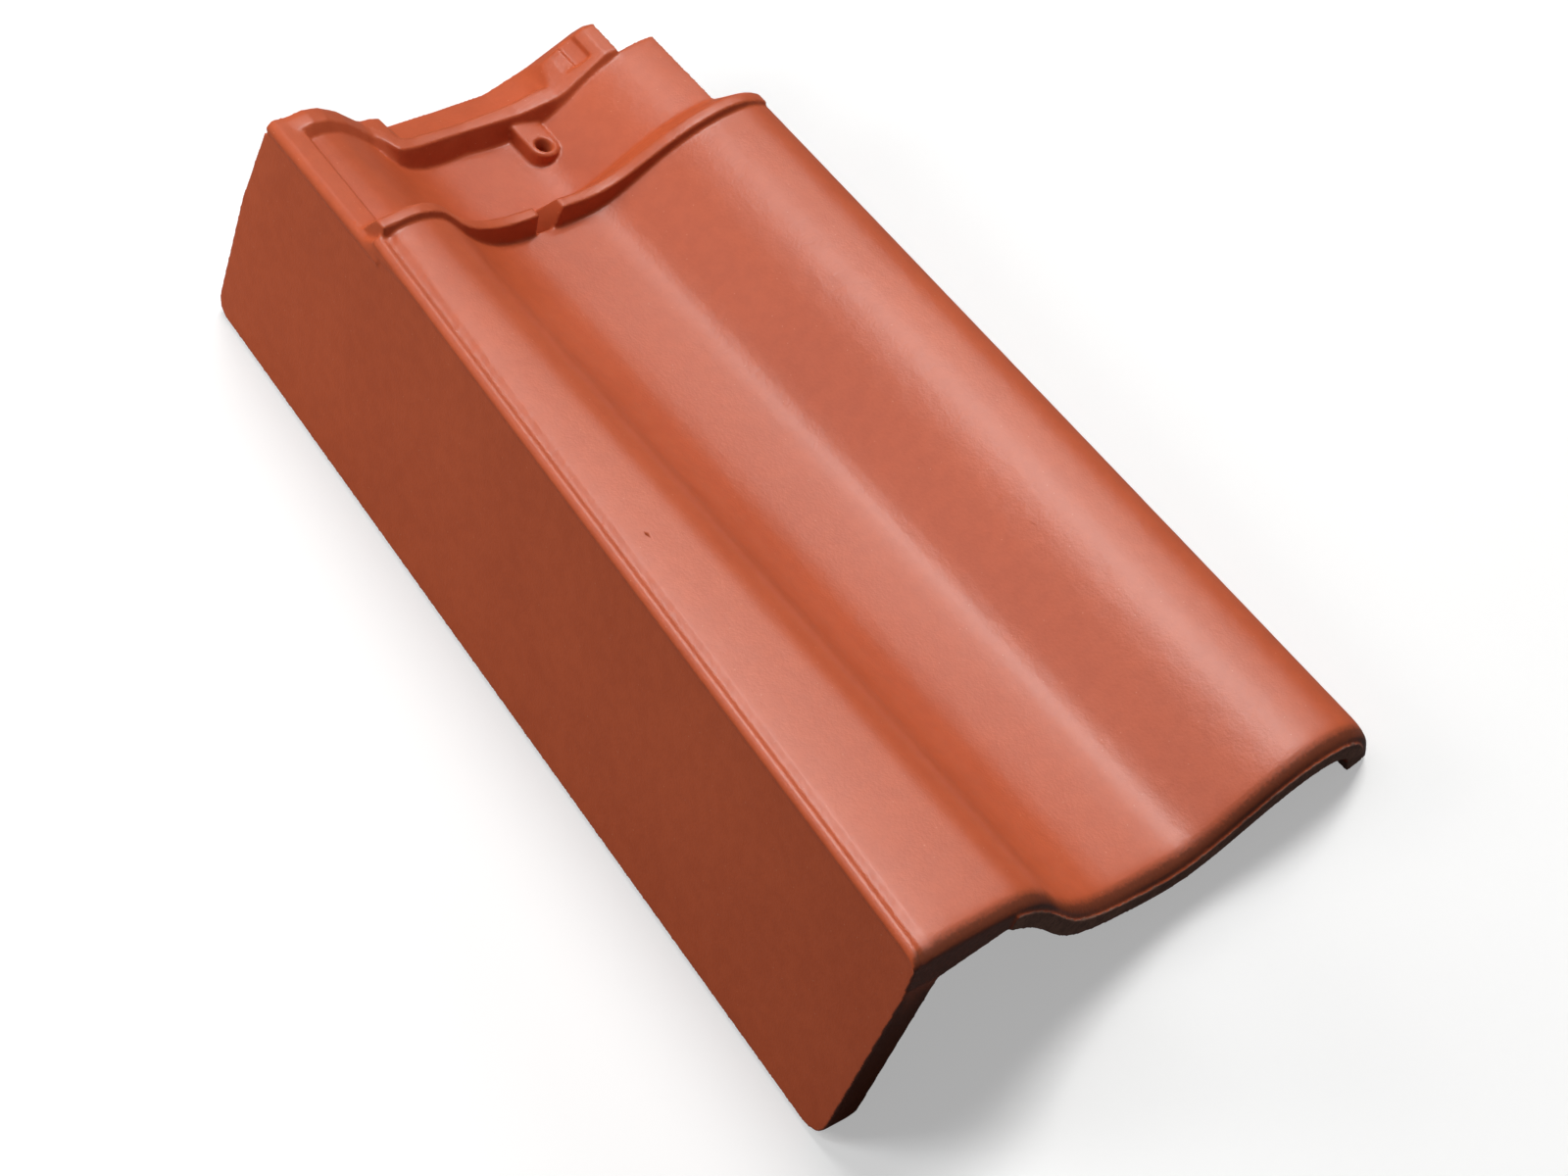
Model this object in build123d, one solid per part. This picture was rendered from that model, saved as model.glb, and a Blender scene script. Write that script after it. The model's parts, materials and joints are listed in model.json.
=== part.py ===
from build123d import *
from math import cos, radians, sin
import os

# A left-hand verge tile: one fired clay piece. A waved plate lies on the roof
# and a side flap hangs over the gable. The tile is drawn as it lies on the
# roof: X across with the flap at the low end, Y up the slope from the foot,
# Z out of the roof, 0 at the crests of both rolls. At the end it is turned
# into the way it rests on a level floor. All sizes are in millimetres.

# Overall sizes
length = 450.0
lap_length = 80.4
flap_depth = 120.8
flap_foot_x = -83.6
flap_head_x = -46.8

# Waved profile, from the crest of the left roll to the turned-down right edge
left_crest_x = -37.0
left_bank_width = 53.0
valley_width = 50.0
right_bank_width = 62.0
right_fold_width = 26.5
wave_depth = 33.5
valley_rise_start = 1.5
valley_rise_end = 3.2
left_slope_z = -18.0
right_slope_z = -17.0
right_flat_width = 12.0
right_flat_z = -1.5
right_turn_width = 19.0
right_turn_z = -5.8
right_edge_z = -19.5
plate_wall = 11.0

# Corner bead where the flap meets the plate
bead_top_z = -2.4
bead_height = 3.8
bead_width = 2.4
bead_proud = 0.8
groove_x = 4.6
groove_z = -3.0
groove_end_x = 7.5
groove_end_z = -1.6

# Flap
flap_wall = 15.0
flap_top_z = -20.0
flap_foot_rake = 8.0
flap_foot_z = -11.0
flap_head_start = 1.0
flap_head_rake = 5.5
flap_head_bend_z = -60.0
flap_foot_round = 12.0
flap_head_round = 8.0
flap_bottom_chamfer = 11.0

# Foot: a rounded nose above a lip, a deep front, and a lock rib behind it
nose_round = 9.0
nose_drop = 4.0
nose_steps = 5
lip_depth = 4.2
lip_ledge = 1.2
nose_depth = 12.3
nose_width = 15.0
foot_rib_start = 44.0
foot_rib_width = 9.0
foot_rib_height = 5.0
rib_root = 4.0

# Head lap: the plate steps down so that the next tile can lie on it
lap_wall = 10.0
lap_drop = 8.0
lap_head_drop = 9.0
lap_bead_height = 5.0
lap_bead_start = 25.0
lap_bead_foot = 3.0
lap_bead_end = 8.0
roll_drop = 12.0
roll_head_drop = 16.0
land_width = 10.8
land_z = -8.0
land_head_z = -13.0
land_wall_draft = 1.5
lap_right_inset = 24.0
corner_cut_inset = 18.0
corner_cut_length = 20.0

# Rib across the plate at the upper end of the exposed face: its heights at
# the rolls, on the banks and in the valley, and its section along the slope
cross_rib_roll = 3.0
cross_rib_bank = 4.5
cross_rib_valley = 10.0
cross_rib_draft = 1.5
cross_rib_crest = 5.0
cross_rib_back = 10.5
cross_rib_inset = 3.2
cross_rib_end_inset = 9.0
cross_rib_end_width = 8.0
notch_offset = 17.0
notch_floor = 6.5
notch_width = 14.0

# Rim along the head edge: an arch over the left roll, a level shoulder, a high
# ridge over the valley with a lower band behind it, and a sloping plateau on
# the right bank. Each row is a place across the tile, the distances from the
# head edge to the wall's foot, its top and the ridge's end, and the heights
# over the lap of the ridge, the band behind it and the head edge.
rim_arch = [
    (-3.0, 14.0, 9.0, 6.0, 3.0, 3.0, 2.0),
    (5.4, 14.0, 9.0, 6.0, 4.2, 4.2, 3.2),
    (13.0, 13.5, 9.0, 6.0, 4.2, 4.2, 3.2),
    (23.0, 13.5, 9.0, 6.0, 4.0, 4.0, 3.0),
    (35.5, 13.5, 9.5, 6.0, 3.6, 3.6, 2.6),
    (38.0, 16.5, 11.0, 7.0, 4.0, 4.0, 3.2),
    (40.0, 22.0, 12.5, 8.0, 5.3, 5.3, 4.5),
    (43.7, 24.5, 20.5, 12.0, 7.2, 7.2, 6.4),
    (47.5, 24.7, 21.0, 15.0, 8.7, 8.4, 7.4),
]
rim_ridge = [
    (0.0, 24.7, 21.0, 15.5, 10.0, 5.0, 2.6),
    (25.0, 24.2, 20.5, 15.5, 10.5, 6.0, 3.8),
    (50.0, 26.5, 23.0, 16.0, 9.5, 3.5, 1.0),
    (62.0, 28.0, 25.0, 17.0, 7.0, 1.6, -1.0),
    (66.5, 28.0, 25.0, 18.0, 4.5, 2.5, -2.5),
    (70.7, 27.8, 25.0, 10.0, 3.5, 3.3, -4.0),
]
rim_plateau = [
    (-6.0, 25.0, 22.0, 8.0, 3.0, 3.0, -4.0),
    (0.0, 24.5, 22.0, 8.0, 1.5, 1.5, -4.0),
]
rim_wall = 11.0
rim_slope = 3.0
pocket_left = 22.0
pocket_step = 16.5
pocket_right = 10.0
pocket_length = 18.0
pocket_shallow = 1.2
pocket_deep = 2.8

# Nail boss and hole
nail_offset = 2.0
nail_from_head = 38.5
boss_width = 13.0
boss_height = 5.0
nail_hole = 5.5
nail_sink = 8.0
nail_sink_depth = 4.0

# Underside: side lock rib and hanging nib
side_rib_offset = 12.0
side_rib_width = 7.0
side_rib_height = 6.0
nib_width = 36.0
nib_height = 17.0
nib_thick = 14.0
nib_draft = 3.0
nib_from_head = 52.0

# Every rib starts this far inside the plate
sunk = 1.2

# Places worked out from the sizes
cover_length = length - lap_length
flap_bottom_z = -flap_depth
left_slope_x = left_crest_x + 0.57 * left_bank_width
valley_start_x = left_crest_x + left_bank_width
valley_mid_x = valley_start_x + valley_width / 2
valley_end_x = valley_start_x + valley_width
right_slope_x = valley_end_x + right_bank_width / 3
right_crest_x = valley_end_x + right_bank_width
right_edge_x = right_crest_x + right_fold_width
valley_z = -wave_depth
lap_right_x = right_edge_x - lap_right_inset
corner_cut_x = lap_right_x - corner_cut_inset
crest_y = cover_length + cross_rib_draft
back_y = crest_y + cross_rib_crest
lap_start = cover_length - 4
rim_cut_y = length - 22


def flap_x(y):
    """Outer face of the flap at a place up the slope."""
    return flap_foot_x + (flap_head_x - flap_foot_x) * y / length


def up_lap(y, low, high):
    """A value that changes evenly from the start of the lap to the head."""
    return low + (high - low) * (y - lap_start) / (length - lap_start)


def curve(y, points, tangents=()):
    """A smooth curve across the tile, at a place up the slope."""
    places = [Vector(x, y, z) for x, z in points]
    return Spline(*places, tangents=[Vector(x, 0, z) for x, z in tangents])


def left_groove(y, drop=0.0):
    """The shallow groove beside the corner bead."""
    x = flap_x(y)
    return ThreePointArc(
        Vector(x + bead_width, y, bead_top_z - drop),
        Vector(x + groove_x, y, groove_z - drop),
        Vector(x + groove_end_x, y, groove_end_z - drop),
    )


def left_roll(y, drop=0.0):
    """The exposed face from the groove to the left crest."""
    x = flap_x(y) + groove_end_x
    reach = (left_crest_x - x) / 3
    return Bezier(
        Vector(x, y, groove_end_z - drop),
        Vector(x + reach, y, groove_end_z / 4 - drop),
        Vector(left_crest_x - reach, y, -drop),
        Vector(left_crest_x, y, -drop),
    )


def wave(y, drop=0.0):
    """The exposed face from the left crest to the right edge, or lowered by a drop."""
    points = [
        (left_crest_x, 0),
        (left_slope_x, left_slope_z),
        (valley_start_x, valley_z + valley_rise_start),
        (valley_mid_x, valley_z),
        (valley_end_x, valley_z + valley_rise_end),
        (right_slope_x, right_slope_z),
        (right_crest_x, 0),
        (right_crest_x + right_flat_width, right_flat_z),
        (right_crest_x + right_turn_width, right_turn_z),
        (right_edge_x, right_edge_z),
    ]
    return curve(y, [(x, z - drop) for x, z in points], tangents=[(1, 0), (0.4, -0.92)])


def lap_floor(y):
    """The lowered face of the head lap, from the land to its right edge."""
    roll = up_lap(y, roll_drop, roll_head_drop)
    drop = up_lap(y, lap_drop, lap_head_drop)
    full = wave(y, drop)
    points = [
        (flap_x(y) + land_width + land_wall_draft, -roll),
        (left_crest_x + 9, -roll),
        (left_slope_x, left_slope_z - drop),
        (valley_start_x, height_on(full, valley_start_x)),
        (valley_mid_x, height_on(full, valley_mid_x)),
        (valley_end_x, height_on(full, valley_end_x)),
        (right_slope_x, height_on(full, right_slope_x)),
        (corner_cut_x, height_on(full, corner_cut_x)),
        (lap_right_x, height_on(full, lap_right_x)),
    ]
    return curve(y, points)


def height_on(line, x):
    """Z of a curve at a place across the tile, found by halving."""
    low, high = 0.0, 1.0
    for _ in range(24):
        middle = (low + high) / 2
        if line.position_at(middle).X < x:
            low = middle
        else:
            high = middle
    return line.position_at(low).Z


def under(line, y, wall, start=0.0, count=9):
    """A curve one wall below another, square to it, read from right to left."""
    points = []
    for i in range(count):
        u = 1 - (1 - start) * i / (count - 1)
        slope = line.tangent_at(u)
        place = line.position_at(u)
        points.append((place.X + slope.Z * wall, place.Z - slope.X * wall))
    return curve(y, points)


def bead_arc(y, top_z, height):
    """The rounded corner bead, a little proud of the flap."""
    x = flap_x(y)
    return ThreePointArc(
        Vector(x - bead_proud, y, top_z - height + 1),
        Vector(x, y, top_z - 1.2),
        Vector(x + bead_width, y, top_z),
    )


def flap_root(y, low, bead, depth):
    """The outline from a low face round the root of the flap up to the bead."""
    x = flap_x(y)
    foot_z = (bead @ 0).Z - 1
    return Polyline(
        low @ 1,
        Vector(x + flap_wall - 1, y, flap_top_z - depth),
        Vector(x, y, flap_top_z - depth),
        Vector(x, y, foot_z),
        bead @ 0,
    )


def plate_section(y, drop=0.0):
    """The plate with the corner bead and the root of the flap, its face lowered by a drop."""
    bead = bead_arc(y, bead_top_z - drop, bead_height)
    groove, roll, top = left_groove(y, drop), left_roll(y, drop), wave(y, drop)
    low = under(wave(y), y, plate_wall, 0.02)
    root = flap_root(y, low, bead, 2)
    return make_face([bead, groove, roll, top, Line(top @ 1, low @ 0), low, root])


def band_section(y, top_depth, low_depth):
    """A strip that follows the wave between two depths below it."""
    low = under(wave(y), y, low_depth)
    top = under(wave(y), y, top_depth)
    return make_face([top, Line(top @ 1, low @ 1), low, Line(low @ 0, top @ 0)])


def lap_section(y):
    """The lowered plate, with the land beside the corner bead."""
    land_end = Vector(flap_x(y) + land_width, y, up_lap(y, land_z, land_head_z))
    bead = bead_arc(y, land_end.Z + 0.4, lap_bead_height)
    top = lap_floor(y)
    low = under(top, y, lap_wall, 0.05)
    land = Polyline(bead @ 1, land_end, top @ 0)
    return make_face([bead, land, top, Line(top @ 1, low @ 0), low, flap_root(y, low, bead, lap_wall)])


def corner_section(y, top_z, height, land):
    """The corner bead and the land beside it, on the root of the flap."""
    x = flap_x(y)
    return make_face(Polyline(
        Vector(x - bead_proud + 0.1, y, top_z - height + 1),
        Vector(x + 0.1, y, top_z - 1.2),
        Vector(x + bead_width, y, top_z),
        Vector(x + land_width, y, land),
        Vector(x + land_width, y, flap_top_z),
        Vector(x, y, flap_top_z),
        Vector(x, y, top_z - height),
        close=True,
    ))


def block(x0, x1, y0, y1, z0, z1):
    """A box between two corners."""
    return Pos((x0 + x1) / 2, (y0 + y1) / 2, (z0 + z1) / 2) * Box(x1 - x0, y1 - y0, z1 - z0)


def make_plate():
    """Waved plate with its rounded nose and deep front, and the lowered head lap."""
    sections = []
    for i in range(nose_steps + 1):
        turn = radians(90 * i / nose_steps)
        y = lip_ledge + nose_round * (1 - cos(turn))
        sections.append(plate_section(y, nose_drop * (1 - sin(turn))))
    field = loft(sections + [plate_section(cover_length + 2)], ruled=True)
    nose = loft([band_section(y, lip_depth, nose_depth) for y in (0, nose_width)], ruled=True)
    lap = loft([lap_section(y) for y in (lap_start, length)], ruled=True)
    head = block(valley_end_x - 2, right_edge_x, rim_cut_y, length + 1, -80, 20)
    y = cover_length + lap_bead_end
    land = up_lap(y, land_z, land_head_z)
    corner = loft([
        corner_section(cover_length - lap_bead_start, bead_top_z - 0.4, bead_height - 0.4, groove_z - 0.4),
        corner_section(cover_length, bead_top_z - 0.4, bead_height + lap_bead_foot, groove_z - 0.4),
        corner_section(y, land + 0.4, lap_bead_height, land),
    ], ruled=True)
    return field + nose + (lap - head) + corner


def make_flap():
    """A splayed slab with a chamfered inner lower edge, cut to its raked outline."""
    ends = []
    for y in (-20, length + 20):
        x = flap_x(y)
        ends.append(make_face(Polyline(
            Vector(x, y, flap_top_z),
            Vector(x, y, flap_bottom_z),
            Vector(x + flap_wall - flap_bottom_chamfer, y, flap_bottom_z),
            Vector(x + flap_wall, y, flap_bottom_z + flap_bottom_chamfer),
            Vector(x + flap_wall, y, flap_top_z),
            close=True,
        )))
    slab = loft(ends, ruled=True)
    line = FilletPolyline(
        Vector(0, 0, flap_top_z + 30),
        Vector(0, 0, flap_foot_z),
        Vector(0, flap_foot_rake, flap_bottom_z),
        Vector(0, length + flap_head_rake, flap_bottom_z),
        Vector(0, length + flap_head_rake, flap_head_bend_z),
        Vector(0, length + flap_head_start, flap_top_z + 2),
        Vector(0, length + flap_head_start, flap_top_z + 30),
        radius=(15, flap_foot_round, flap_head_round, 30, 5),
    )
    outline = make_face([line, Line(line @ 1, line @ 0)])
    return slab & (Pos(flap_foot_x - 20, 0, 0) * extrude(outline, flap_wall + 100, dir=(1, 0, 0)))


def make_cross_rib():
    """Rib across the plate: steep towards the foot, sloping down to the lap."""
    left_x = flap_x(cover_length) + cross_rib_inset
    lifts = [
        (left_x, cross_rib_roll),
        ((left_x + left_crest_x) / 2, cross_rib_roll),
        (left_crest_x, cross_rib_roll),
        ((left_crest_x + left_slope_x) / 2, cross_rib_roll + 0.5),
        (left_slope_x, cross_rib_bank),
        (valley_start_x, cross_rib_valley - 1),
        (valley_mid_x, cross_rib_valley),
        (valley_end_x, cross_rib_valley - 2),
        (right_slope_x, cross_rib_bank + 0.5),
        (right_crest_x - 20, cross_rib_roll + 0.5),
        (right_crest_x, cross_rib_roll),
        (right_edge_x - cross_rib_end_inset, cross_rib_roll - 1),
    ]
    rows = []
    for x, lift in lifts:
        line = left_roll(cover_length) if x < left_crest_x else wave(cover_length)
        drop = roll_drop + 1 if x < left_slope_x else lap_drop
        rows.append((x, height_on(line, x), lift, -drop - sunk))
    faces = []
    for y, column in ((cover_length, None), (crest_y, 2), (back_y, 2), (back_y + cross_rib_back, 3)):
        top = curve(y, [(row[0], row[1] + (row[column] if column else -sunk)) for row in rows])
        low = Polyline(*[Vector(x, y, z) for x, z in (
            (right_edge_x - cross_rib_end_inset, right_edge_z - 8),
            (valley_end_x + 2, valley_z - lap_drop - 5),
            (valley_start_x, valley_z - lap_drop - 5),
            (left_crest_x, -roll_drop - 8),
            (left_x, -roll_drop - 8),
        )])
        faces.append(make_face([top, Line(top @ 1, low @ 0), low, Line(low @ 1, top @ 0)]))
    rib = loft(faces, ruled=True)
    end = block(lap_right_x + 3, right_edge_x + 20, cover_length + cross_rib_end_width, length, -60, 20)
    return rib - end


def make_notch():
    """Drainage notch through the cross rib, one side upright and one sloping."""
    left_x = valley_start_x + notch_offset
    top_z = valley_z + cross_rib_valley + sunk + 5
    y = cover_length + 1
    face = make_face(Polyline(
        Vector(left_x, y, valley_z - lap_drop),
        Vector(left_x + notch_floor, y, valley_z - lap_drop),
        Vector(left_x + notch_width, y, top_z),
        Vector(left_x, y, top_z),
        close=True,
    ))
    return extrude(face, back_y + cross_rib_back - y, dir=(0, 1, 0))


def rim_section(x, foot, crest, ridge, lift, band_lift, edge_lift):
    """The head rim cut along the slope, at a place across the tile."""
    floor_z = height_on(lap_floor(length - foot), x)
    return make_face(Polyline(
        Vector(x, length - foot, floor_z - sunk),
        Vector(x, length - crest, floor_z + lift),
        Vector(x, length - ridge, floor_z + lift),
        Vector(x, length - ridge + rim_slope, floor_z + band_lift),
        Vector(x, length, floor_z + edge_lift),
        Vector(x, length, floor_z - rim_wall),
        Vector(x, length - foot, floor_z - rim_wall),
        close=True,
    ))


def make_rim():
    """The head rim, section by section, with a stepped pocket in its plateau."""
    faces = []
    for start_x, rows in ((left_crest_x, rim_arch), (valley_start_x, rim_ridge), (corner_cut_x, rim_plateau)):
        faces += [rim_section(start_x + row[0], *row[1:]) for row in rows]
    rim = loft(faces, ruled=True)
    y = length - pocket_length

    def plateau(inset, depth):
        x = corner_cut_x - inset
        return Vector(x, y, height_on(lap_floor(y), x) + rim_plateau[0][4] - depth)

    pocket = make_face(Polyline(
        plateau(pocket_left, 0.2),
        plateau(pocket_step, pocket_shallow),
        plateau(pocket_step, pocket_deep),
        plateau(pocket_right, pocket_deep),
        plateau(pocket_right, -10),
        plateau(pocket_left, -10),
        close=True,
    ))
    return rim - extrude(pocket, pocket_length + 1, dir=(0, 1, 0))


def make_boss():
    """A tongue from the head rib with a round end about the nail hole."""
    reach = nail_from_head - rim_ridge[2][1] + 6
    outline = Circle(boss_width / 2) + Pos(0, reach / 2) * Rectangle(boss_width, reach)
    boss = Pos(nail_x, nail_y, boss_top_z - lap_wall) * extrude(outline, lap_wall)
    rim = boss.edges().filter_by(GeomType.CIRCLE).sort_by(Axis.Z)[-1]
    return fillet(rim, 1.2)


def make_underside():
    """Lock rib behind the foot, side lock rib under the right roll, hanging nib."""
    ends = (foot_rib_start, foot_rib_start + foot_rib_width)
    foot_rib = loft([band_section(y, rib_root, plate_wall + foot_rib_height) for y in ends], ruled=True)
    x = right_crest_x - side_rib_offset
    side_rib = block(x, x + side_rib_width, nose_width - 2, cover_length,
                     -plate_wall - side_rib_height - 3, -plate_wall + 6)
    foot_y = length - nib_from_head
    tip_y = foot_y + nib_thick
    root_z = valley_z - lap_drop - lap_wall / 2
    tip_z = root_z - lap_wall / 2 - nib_height
    profile = make_face(Polyline(
        Vector(valley_mid_x - nib_width / 2, foot_y, root_z),
        Vector(valley_mid_x - nib_width / 2, foot_y, tip_z),
        Vector(valley_mid_x - nib_width / 2, tip_y, tip_z),
        Vector(valley_mid_x - nib_width / 2, tip_y + nib_draft, root_z),
        close=True,
    ))
    nib = extrude(profile, nib_width, dir=(1, 0, 0))
    return foot_rib + side_rib + nib


# The nail hole goes through the boss and the lap, sunk at its mouth
nail_x = valley_end_x + nail_offset
nail_y = length - nail_from_head
boss_top_z = valley_z + valley_rise_end - lap_drop + boss_height
hole = Pos(nail_x, nail_y, boss_top_z - 30) * Cylinder(nail_hole / 2, 70)
mouth_z = boss_top_z - nail_sink_depth / 2 + 0.01
mouth = Pos(nail_x, nail_y, mouth_z) * Cone(nail_hole / 2, nail_sink / 2, nail_sink_depth)

tile = make_plate() + make_flap() + make_cross_rib() + make_rim() + make_boss() + make_underside()
corner = block(corner_cut_x, right_edge_x + 20, length - corner_cut_length, length + 20, -60, 20)
tile = tile - make_notch() - hole - mouth - corner

# The tile rests on the lower edge of its flap and on its right side: turn it so
edge_x = flap_wall - flap_bottom_chamfer
flap_foot = Vector(flap_x(flap_foot_rake) + edge_x, flap_foot_rake, flap_bottom_z)
flap_head = Vector(flap_x(length) + edge_x, length, flap_bottom_z)
along = (flap_head - flap_foot).normalized()
sideways = along.cross(Vector(0, 0, 1))


def slope_to(vertex):
    """Rise from the flap's lower edge to a vertex, for each millimetre sideways."""
    reach = Vector(*vertex) - flap_foot
    return reach.Z / reach.dot(sideways)


right_side = tile.vertices().filter_by_position(Axis.X, right_crest_x, right_edge_x + 5)
touch = min(right_side, key=slope_to)
up = (Vector(*touch) - flap_foot).cross(along).normalized()
rest = Plane(origin=flap_foot, x_dir=Vector(0, 1, 0).cross(up), z_dir=up)
tile = rest.to_local_coords(tile)
box = tile.bounding_box()
tile = tile.moved(Location((-box.center().X, -box.center().Y, -box.min.Z)))

os.makedirs("parts", exist_ok=True)
export_step(tile, "parts/verge_tile.step")
print("volume", round(tile.volume), "solids", len(tile.solids()), "valid", tile.is_valid)
print("touch", tuple(touch), "up", tuple(up), "box", box.size)
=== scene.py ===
import json
import math
import bmesh
import bpy
from mathutils import Euler, Matrix, Vector
from mathutils.bvhtree import BVHTree


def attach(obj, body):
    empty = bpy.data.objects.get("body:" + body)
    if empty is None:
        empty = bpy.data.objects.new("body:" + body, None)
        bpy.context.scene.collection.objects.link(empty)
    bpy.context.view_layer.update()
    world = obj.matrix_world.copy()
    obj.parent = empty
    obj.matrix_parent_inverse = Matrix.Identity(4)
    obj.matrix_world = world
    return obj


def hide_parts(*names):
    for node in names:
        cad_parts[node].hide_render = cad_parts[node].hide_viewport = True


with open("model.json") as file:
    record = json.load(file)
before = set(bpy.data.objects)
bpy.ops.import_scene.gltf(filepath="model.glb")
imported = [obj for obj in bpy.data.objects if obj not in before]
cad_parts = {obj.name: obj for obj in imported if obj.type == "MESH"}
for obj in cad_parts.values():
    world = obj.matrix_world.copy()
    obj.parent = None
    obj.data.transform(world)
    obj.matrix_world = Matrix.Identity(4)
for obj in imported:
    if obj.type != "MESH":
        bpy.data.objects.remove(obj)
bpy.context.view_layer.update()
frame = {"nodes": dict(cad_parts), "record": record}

# A left-hand verge tile of fired clay, lying on a level floor. The solid from
# the frame is taken over, the drainage notch in its cross rib is opened, its
# edges are softened as pressing and firing leave them, and its faces get a
# sprayed satin engobe over bare clay. Lengths are in metres. Places on the
# tile are given as it lies on the roof: across from the flap, up the slope
# from the foot, and out of the roof.

mm = 0.001

# Where the nail hole lies on the tile as it lies on the roof
nail_on_tile = Vector((68.0, 411.5, -42.8)) * mm

# The flap's outer face, across the tile at its foot and at its head
flap_foot_x = -83.6 * mm
flap_head_x = -46.8 * mm
tile_length = 450 * mm

# Camera: its place on the roof's axes, the directions of its picture, its lens
camera_place = Vector((-897.75, -463.84, 1084.27)) * mm
camera_right = Vector((0.749897, -0.608950, 0.258524))
camera_forward = Vector((0.574841, 0.406375, -0.710223))
lens_mm = 96.06
sensor_mm = 36.0
farthest_seen = 100

# Drainage notch in the cross rib, opened down to the exposed face: its lowest
# and highest corner, and how far its right side slopes in at the bottom
notch_low = Vector((33.0, 366.0, -33.3)) * mm
notch_high = Vector((47.0, 371.2, -17.3)) * mm
notch_slope = 5.0 * mm

# Softening of the solid. It is turned to a slant while its skin is made, so
# that none of its edges runs along the grid and comes out stepped.
same_place = 0.001 * mm
grain_of_form = 0.7 * mm
soften_steps = 4
soften_factor = 0.5
most_triangles = 190000
slant = Euler((0.62, 0.47, 0.83)).to_matrix().to_4x4()

# Groove along the corner bead: its outer side, measured in from the flap's
# face, the stretch of the tile that has it, and how it is rubbed down
groove_near = 5 * mm
groove_far = 14 * mm
groove_above_z = -9 * mm
groove_from_y = 2 * mm
groove_to_y = 366 * mm
groove_strokes = 12
groove_factor = 0.5

# Spraying: directions to the guns on the roof's axes, how near a wall may
# stand without holding the spray back, and the facings that get the least
# and the full cover
guns = [Vector((0, 0, 1)), Vector((-1, 0, 0.35)), Vector((0, -0.5, 0.85)),
        Vector((1, 0, 0.6)), Vector((0, 0.7, 0.7))]
spray_reach = 20 * mm
least_cover = 0.05
full_cover = 0.35
feather_rounds = 2

# End face of the foot, bare from the flap's corner to the right
end_facing = 0.7
bare_from_x = -64 * mm
bare_to_x = -44 * mm

# Painted shade on the nose at the foot, a dark colour on faces turned towards the foot: where it
# begins and is darkest up the slope, where the lip ends it, and the facings towards the foot that
# begin and end it
nose_from_y = 13 * mm
nose_to_y = 6 * mm
lip_front_y = 0.4 * mm
lip_back_y = 1.4 * mm
nose_facing_from = 0.03
nose_facing_to = 0.4

# Colours of the finishes, as linear values
engobe_red = (0.54, 0.104, 0.036, 1)
engobe_deep = (0.44, 0.078, 0.026, 1)
# painted shade: the dark colour laid on the nose's faces towards the foot
nose_shade_colour = (0.16, 0.036, 0.014, 1)
engobe_speck = (0.70, 0.32, 0.20, 1)
clay_brown = (0.36, 0.18, 0.13, 1)
clay_dark = (0.20, 0.095, 0.07, 1)
paper_white = (0.96, 0.96, 0.96, 1)
paper_grey = (0.12, 0.12, 0.12, 1)
lamp_white = (1, 1, 1, 1)

# Sizes of what shows in the finish
cloud_size = 60 * mm
mottle_size = 6 * mm
grain_size = 1.3 * mm
pore_size = 1.6 * mm
speck_spacing = 5 * mm
speck_radius = 0.35 * mm

# Satin of the engobe, and how much rougher bare clay is
engobe_roughness = 0.40
clay_rougher = 0.42
grain_rougher = 0.08
gloss_level = 0.45
relief_strength = 0.5
relief_height = 1.0 * mm

# Floor and room: half the floor's side, the share of its own glow that the
# camera sees in it, and the strength of the room's even light
floor_half = 6.0
paper_glow = 0.38
room_strength = 0.08

# Lamps: the places on the tile that they face, in millimetres, and their tints
tile_middle = (40, 225, -20)
foot_middle = (0, 40, 0)
flap_head = (-60, 400, -60)
daylight = (1.0, 0.99, 0.975)
cool_light = (0.93, 0.97, 1.0)
warm_light = (1.0, 0.98, 0.96)


class RoofAxes:
    """The tile's own axes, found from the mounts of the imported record."""

    def __init__(self, mounts):
        nail = next(m for m in mounts if m["name"] == "nail_hole")
        nib = next(m for m in mounts if m["name"] == "nib_face")
        out = Vector(nail["axis"]).normalized()
        up_slope = -Vector(nib["axis"]).normalized()
        across = up_slope.cross(out).normalized()
        self.turn = Matrix((across, up_slope, out)).transposed()
        self.origin = Vector(nail["pos_m"]) - self.turn @ nail_on_tile

    def place(self, point):
        """A place on the tile, in the frame."""
        return self.origin + self.turn @ Vector(point)

    def direction(self, way):
        """A direction on the roof, in the frame."""
        return self.turn @ Vector(way)

    def on_tile(self, point):
        """A place in the frame, on the tile's own axes."""
        return self.turn.transposed() @ (point - self.origin)


roof = RoofAxes(frame["record"]["mounts"])


class Amount:
    """A number that changes over a surface: sums on it add Math nodes."""

    def __init__(self, finish, socket):
        self.finish = finish
        self.socket = socket

    def combine(self, operation, *values):
        node = self.finish.add("ShaderNodeMath", {"operation": operation}, enumerate(values))
        return Amount(self.finish, node.outputs[0])

    def __add__(self, other):
        return self.combine("ADD", self, other)

    def __sub__(self, other):
        return self.combine("SUBTRACT", self, other)

    def __rsub__(self, other):
        return self.combine("SUBTRACT", other, self)

    def __mul__(self, other):
        return self.combine("MULTIPLY", self, other)

    def step(self, low, high):
        """0 below low, 1 above high, and smooth between."""
        node = self.finish.add(
            "ShaderNodeMapRange", {"interpolation_type": "SMOOTHSTEP"},
            {"Value": self, "From Min": low, "From Max": high})
        return Amount(self.finish, node.outputs["Result"])

    __radd__ = __add__
    __rmul__ = __mul__


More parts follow.
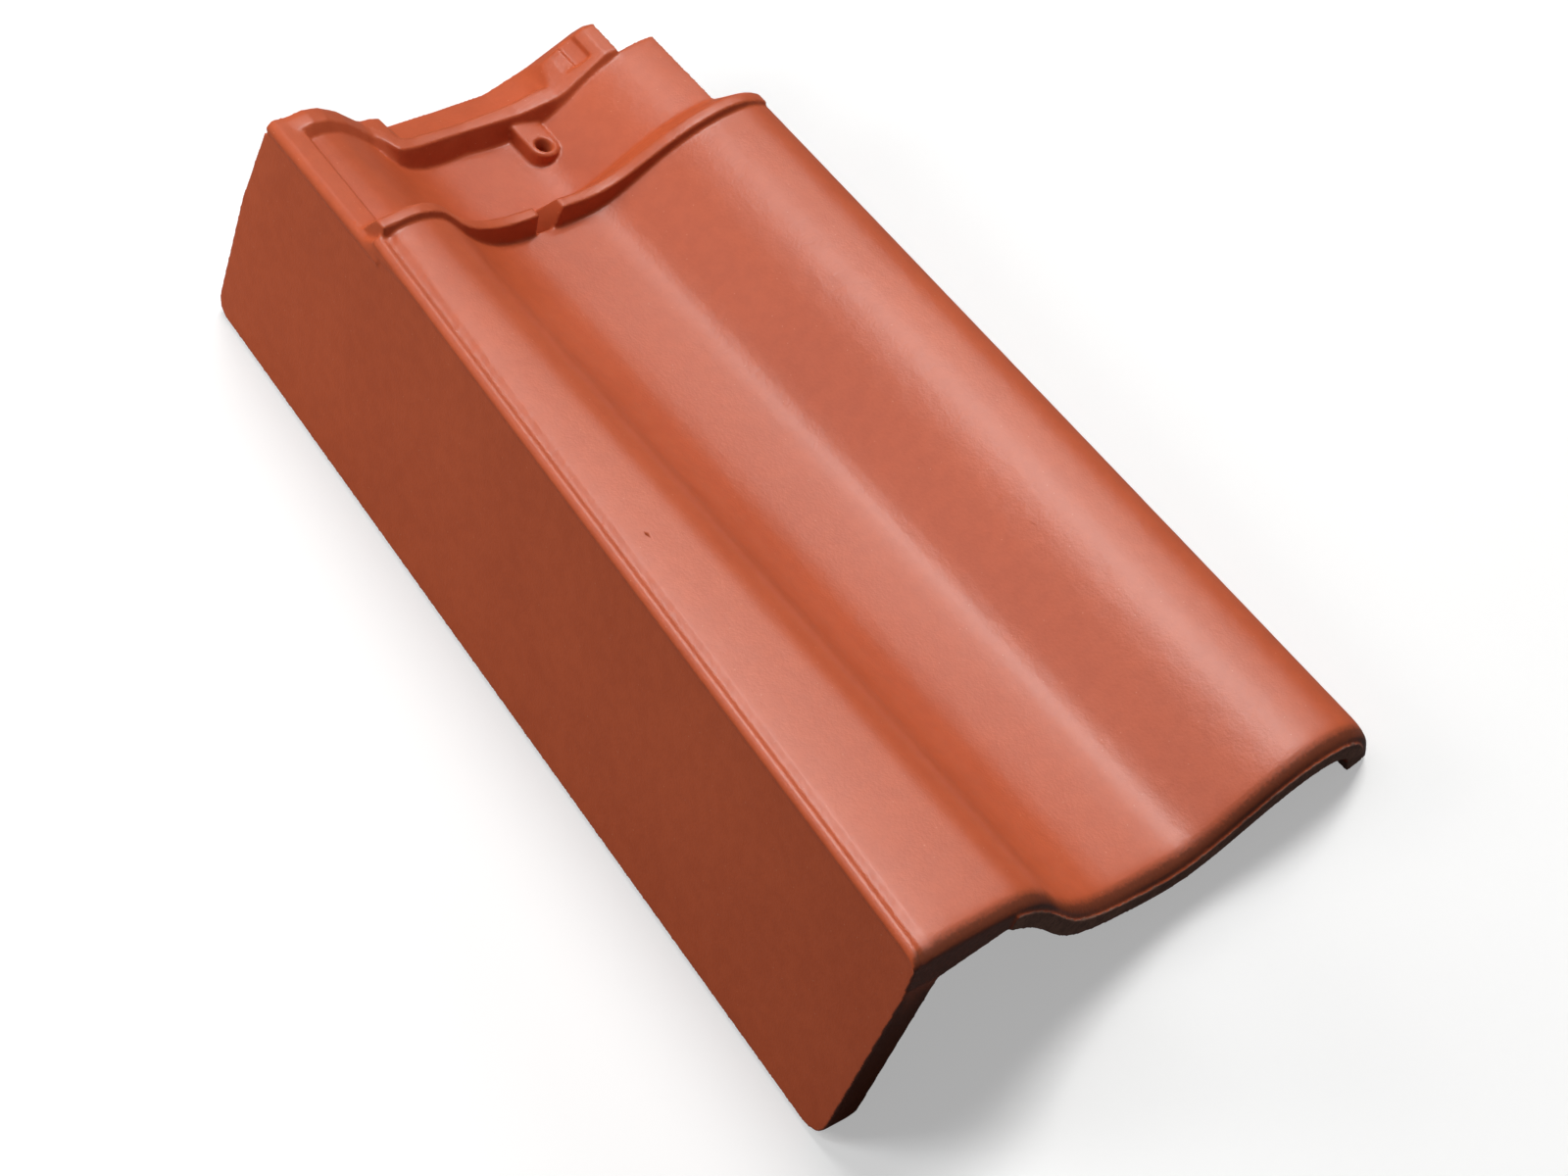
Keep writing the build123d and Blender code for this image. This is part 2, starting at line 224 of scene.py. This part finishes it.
class Finish:
    """A material, or the finish of the room, and the nodes that make it."""

    def __init__(self, owner):
        self.owner = owner
        owner.use_nodes = True
        self.tree = owner.node_tree
        self.tree.nodes.clear()

    def add(self, kind, settings=(), sockets=()):
        """One node: its settings first, then the values or links of its sockets."""
        node = self.tree.nodes.new(kind)
        for name, value in dict(settings).items():
            setattr(node, name, value)
        for name, value in dict(sockets).items():
            if isinstance(value, Amount):
                value = value.socket
            if isinstance(value, bpy.types.NodeSocket):
                self.tree.links.new(value, node.inputs[name])
            else:
                node.inputs[name].default_value = value
        return node

    def marked(self, name):
        """What the mesh says at each vertex."""
        node = self.add("ShaderNodeAttribute", {"attribute_name": name})
        return Amount(self, node.outputs["Fac"])

    def noise(self, place, size, detail=2.0, roughness=0.5):
        """A cloud whose features are about one size across."""
        node = self.add("ShaderNodeTexNoise", {}, {
            "Vector": place, "Scale": 1 / size, "Detail": detail, "Roughness": roughness})
        return Amount(self, node.outputs["Fac"])

    def dots(self, place, spacing, radius):
        """Small dots, one for each cell of the spacing: 1 in their middle."""
        node = self.add("ShaderNodeTexVoronoi", {}, {"Vector": place, "Scale": 1 / spacing})
        edge = Amount(self, node.outputs["Distance"])
        return 1 - edge.step(0.5 * radius / spacing, radius / spacing)

    def mixed(self, share, first, second):
        """One colour over another."""
        node = self.add("ShaderNodeMix", {"data_type": "RGBA"}, {0: share, 6: first, 7: second})
        return node.outputs[2]


def engobed_clay():
    """Satin engobe over brown clay, which stays bare where no spray lands, with painted shade on the
    nose at the foot.
    """
    finish = Finish(bpy.data.materials.new("engobed_clay"))
    place = finish.add("ShaderNodeTexCoord").outputs["Object"]
    bare = finish.marked("bare_clay")
    nose_shade = finish.marked("painted_nose_shade")
    clouds = finish.noise(place, cloud_size, detail=3)
    mottle = finish.noise(place, mottle_size, detail=3)
    grain = finish.noise(place, grain_size, detail=2, roughness=0.55)
    pores = finish.noise(place, pore_size, detail=4, roughness=0.7)
    specks = finish.dots(place, speck_spacing, speck_radius)

    shade = clouds.step(0.3, 0.7) * 0.35 + mottle.step(0.35, 0.65) * 0.25 + grain * 0.4
    engobe = finish.mixed(shade, engobe_deep, engobe_red)
    # painted shade: the nose is darkened on its faces towards the foot
    engobe = finish.mixed((nose_shade + (grain - 0.5) * nose_shade).step(0, 1), engobe, nose_shade_colour)
    engobe = finish.mixed(specks * 0.35, engobe, engobe_speck)
    clay = finish.mixed((mottle * 0.5 + pores * 0.5).step(0.35, 0.65), clay_dark, clay_brown)
    bare = (bare + (mottle - 0.5) * 0.3).step(0.35, 0.65)

    height = grain * 0.17 + pores * bare * 0.35 + mottle * 0.06
    bump = finish.add("ShaderNodeBump", {}, {
        "Strength": relief_strength, "Distance": relief_height, "Height": height})
    shader = finish.add("ShaderNodeBsdfPrincipled", {}, {
        "Base Color": finish.mixed(bare, engobe, clay),
        "Roughness": bare * clay_rougher + (grain - 0.5) * grain_rougher + engobe_roughness,
        "Specular IOR Level": gloss_level,
        "Normal": bump.outputs[0],
    })
    finish.add("ShaderNodeOutputMaterial", {}, {"Surface": shader.outputs[0]})
    return finish.owner


def white_floor():
    """A floor that the camera sees white, with the tile's shadow on it."""
    finish = Finish(bpy.data.materials.new("white_floor"))
    rays = finish.add("ShaderNodeLightPath").outputs
    white = finish.add("ShaderNodeBsdfDiffuse", {}, {"Color": paper_white})
    grey = finish.add("ShaderNodeBsdfDiffuse", {}, {"Color": paper_grey})
    glow = finish.add("ShaderNodeEmission", {}, {"Strength": 1.0})
    paper = finish.add("ShaderNodeMixShader", {}, {
        0: paper_glow, 1: white.outputs[0], 2: glow.outputs[0]})
    shader = finish.add("ShaderNodeMixShader", {}, {
        0: rays["Is Camera Ray"], 1: grey.outputs[0], 2: paper.outputs[0]})
    finish.add("ShaderNodeOutputMaterial", {}, {"Surface": shader.outputs[0]})
    return finish.owner


def flap_face(y):
    """Place across the tile of the flap's outer face, which is splayed."""
    return flap_foot_x + (flap_head_x - flap_foot_x) * y / tile_length


def share(value, low, high):
    """How far a value is from low to high, kept from 0 to 1."""
    return min(1.0, max(0.0, (value - low) / (high - low)))


def neighbours(vert, layer):
    """The values of a layer at the vertices joined to this one."""
    return [edge.other_vert(vert)[layer] for edge in vert.link_edges]


def put_values(bm, layer, values):
    for vert, value in zip(bm.verts, values):
        vert[layer] = value


def middle_value(values):
    return sorted(values)[len(values) // 2]


def even_out(bm, layer):
    """Drops values that stand alone, then feathers the edges of the rest."""
    put_values(bm, layer, [middle_value([vert[layer]] + neighbours(vert, layer)) for vert in bm.verts])
    for _ in range(feather_rounds):
        put_values(bm, layer, [
            sum(neighbours(vert, layer)) / len(vert.link_edges) for vert in bm.verts])


def spray_cover(bm):
    """Marks where no engobe lands, and where shade is painted on the nose at the foot, on its faces
    towards the foot.
    """
    bare_layer = bm.verts.layers.float.new("bare_clay")
    nose_shade_layer = bm.verts.layers.float.new("painted_nose_shade")
    walls = BVHTree.FromBMesh(bm)
    ways = [roof.direction(gun).normalized() for gun in guns]
    to_foot = roof.direction((0, -1, 0))
    for vert in bm.verts:
        cover = 0.0
        for way in ways:
            facing = vert.normal.dot(way)
            if facing > cover:
                wall = walls.ray_cast(vert.co + vert.normal * grain_of_form, way)
                if wall[0] is None or wall[3] < spray_reach:
                    cover = facing
        bare = 1 - share(cover, least_cover, full_cover)
        place = roof.on_tile(vert.co)
        towards_foot = vert.normal.dot(to_foot)
        if towards_foot > end_facing and place.y < lip_front_y:
            bare = max(bare, share(place.x, bare_from_x, bare_to_x))
        vert[bare_layer] = bare
        # painted shade on the nose, stronger where its faces turn towards the foot
        on_nose = share(place.y, nose_from_y, nose_to_y) * share(place.y, lip_front_y, lip_back_y)
        vert[nose_shade_layer] = share(towards_foot, nose_facing_from, nose_facing_to) * on_nose
    even_out(bm, bare_layer)


def outer_skin(bm):
    """Leaves only the faces that are joined to the lowest vertex."""
    lowest = min(bm.verts, key=lambda vert: vert.co.z)
    reached = {lowest}
    front = [lowest]
    while front:
        vert = front.pop()
        for edge in vert.link_edges:
            other = edge.other_vert(vert)
            if other not in reached:
                reached.add(other)
                front.append(other)
    loose = [vert for vert in bm.verts if vert not in reached]
    bmesh.ops.delete(bm, geom=loose, context="VERTS")


def by_groove(place):
    """Whether a place on the tile is on the outer side of the groove."""
    across = place.x - flap_face(place.y)
    beside = groove_near < across < groove_far
    return beside and place.z > groove_above_z and groove_from_y < place.y < groove_to_y


def soften_groove(bm):
    """Rubs down the outer side of the groove along the corner bead."""
    near = [vert for vert in bm.verts if by_groove(roof.on_tile(vert.co))]
    for _ in range(groove_strokes):
        bmesh.ops.smooth_vert(
            bm, verts=near, factor=groove_factor, use_axis_x=True, use_axis_y=True, use_axis_z=True)


def placed(name, data):
    """An object at the origin, or where it is moved to later."""
    made = bpy.data.objects.new(name, data)
    bpy.context.scene.collection.objects.link(made)
    return made


def as_mesh(bm, name):
    mesh = bpy.data.meshes.new(name)
    bm.to_mesh(mesh)
    bm.free()
    return mesh


def notch_cutter():
    """A block, narrower below, that opens the notch through the rib's front."""
    bm = bmesh.new()
    bmesh.ops.create_cube(bm, size=1)
    bmesh.ops.scale(bm, vec=notch_high - notch_low, verts=bm.verts)
    bmesh.ops.translate(bm, vec=(notch_high + notch_low) / 2, verts=bm.verts)
    right_foot = [v for v in bm.verts if v.co.x > notch_low.x + mm and v.co.z < notch_low.z + mm]
    bmesh.ops.translate(bm, vec=(-notch_slope, 0, 0), verts=right_foot)
    stand = Matrix.Translation(roof.origin) @ roof.turn.to_4x4()
    bmesh.ops.transform(bm, matrix=slant @ stand, verts=bm.verts)
    return placed("notch_cutter", as_mesh(bm, "notch_cutter"))


def skinned(tile):
    """The tile's mesh with its notch open, in one fine skin with soft edges."""
    cutter = notch_cutter()
    notch = tile.modifiers.new("open_notch", "BOOLEAN")
    notch.operation = "DIFFERENCE"
    notch.solver = "EXACT"
    notch.object = cutter
    remesh = tile.modifiers.new("fine_skin", "REMESH")
    remesh.mode = "VOXEL"
    remesh.voxel_size = grain_of_form
    remesh.use_smooth_shade = True
    smooth = tile.modifiers.new("soft_edges", "SMOOTH")
    smooth.factor = soften_factor
    smooth.iterations = soften_steps
    graph = bpy.context.evaluated_depsgraph_get()
    triangles = len(tile.evaluated_get(graph).data.polygons) * 2
    fewer = tile.modifiers.new("fewer_triangles", "DECIMATE")
    fewer.ratio = min(1.0, most_triangles / triangles)
    graph = bpy.context.evaluated_depsgraph_get()
    finished = bpy.data.meshes.new_from_object(tile.evaluated_get(graph))
    tile.modifiers.clear()
    bpy.data.objects.remove(cutter)
    return finished


def softened_tile():
    """The solid of the tile with its edges and hollows rounded a little."""
    bm = bmesh.new()
    bm.from_mesh(frame["nodes"]["verge_tile"].data)
    bmesh.ops.remove_doubles(bm, verts=bm.verts, dist=same_place)
    outer_skin(bm)
    bmesh.ops.transform(bm, matrix=slant, verts=bm.verts)
    tile = placed("glazed_tile", as_mesh(bm, "glazed_tile"))
    finished = skinned(tile)
    tile.data = finished

    bm = bmesh.new()
    bm.from_mesh(finished)
    bmesh.ops.transform(bm, matrix=slant.inverted(), verts=bm.verts)
    bmesh.ops.triangulate(bm, faces=bm.faces)
    soften_groove(bm)
    bm.normal_update()
    spray_cover(bm)
    for face in bm.faces:
        face.smooth = True
    bm.to_mesh(finished)
    bm.free()
    return tile


def set_camera():
    """The photograph's viewpoint on the tile."""
    data = bpy.data.cameras.new("camera")
    data.lens = lens_mm
    data.sensor_width = sensor_mm
    data.clip_end = farthest_seen
    camera = placed("camera", data)
    right = roof.direction(camera_right).normalized()
    back = -roof.direction(camera_forward).normalized()
    turn = Matrix((right, back.cross(right), back)).transposed()
    camera.matrix_world = Matrix.Translation(roof.place(camera_place)) @ turn.to_4x4()
    bpy.context.scene.camera = camera


def soft_box(name, aim, way, distance, size, power, colour, spread=180, mirrored=True):
    """A lamp in a direction from a place on the tile, facing that place."""
    data = bpy.data.lights.new(name, "AREA")
    data.shape = "RECTANGLE"
    data.size, data.size_y = size
    data.energy = power
    data.color = colour
    data.spread = math.radians(spread)
    lamp = placed(name, data)
    towards = roof.direction(way).normalized()
    lamp.location = roof.place(Vector(aim) * mm) + towards * distance
    lamp.rotation_euler = towards.to_track_quat("Z", "Y").to_euler()
    lamp.visible_glossy = mirrored


def set_lamps():
    """Two broad panels for the even light, and two small ones for the foot and the flap."""
    soft_box("sky_panel", tile_middle, way=(0.065, 0.30, 0.95), distance=5.0,
             size=(1.7, 1.9), power=190, colour=daylight)
    soft_box("side_panel", tile_middle, way=(-0.55, 0.40, 0.74), distance=5.0,
             size=(0.8, 3.2), power=45, colour=cool_light)
    soft_box("right_panel", foot_middle, way=(0.50, 0.42, 0.76), distance=3.0,
             size=(0.8, 1.2), power=0.6, colour=warm_light, spread=20)
    soft_box("flap_panel", flap_head, way=(-0.85, 0.50, 0.16), distance=1.1,
             size=(0.6, 0.6), power=7.5, colour=warm_light, mirrored=False)


def set_floor():
    """A level floor under the tile, wide enough to fill the picture."""
    bm = bmesh.new()
    bmesh.ops.create_grid(bm, x_segments=1, y_segments=1, size=floor_half)
    mesh = as_mesh(bm, "floor")
    mesh.materials.append(white_floor())
    placed("floor", mesh)


def set_room():
    """An even dim room, which the camera sees white."""
    finish = Finish(bpy.data.worlds.new("pale_room"))
    rays = finish.add("ShaderNodeLightPath").outputs
    room = finish.add("ShaderNodeBackground", {}, {"Color": lamp_white, "Strength": room_strength})
    white = finish.add("ShaderNodeBackground", {}, {"Color": lamp_white, "Strength": 1.0})
    shader = finish.add("ShaderNodeMixShader", {}, {
        0: rays["Is Camera Ray"], 1: room.outputs[0], 2: white.outputs[0]})
    finish.add("ShaderNodeOutputWorld", {}, {"Surface": shader.outputs[0]})
    bpy.context.scene.world = finish.owner


set_camera()
tile = softened_tile()
tile.data.materials.clear()
tile.data.materials.append(engobed_clay())
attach(tile, "root")
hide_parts("verge_tile")

set_floor()
set_room()
set_lamps()
bpy.context.scene.view_settings.view_transform = "Standard"
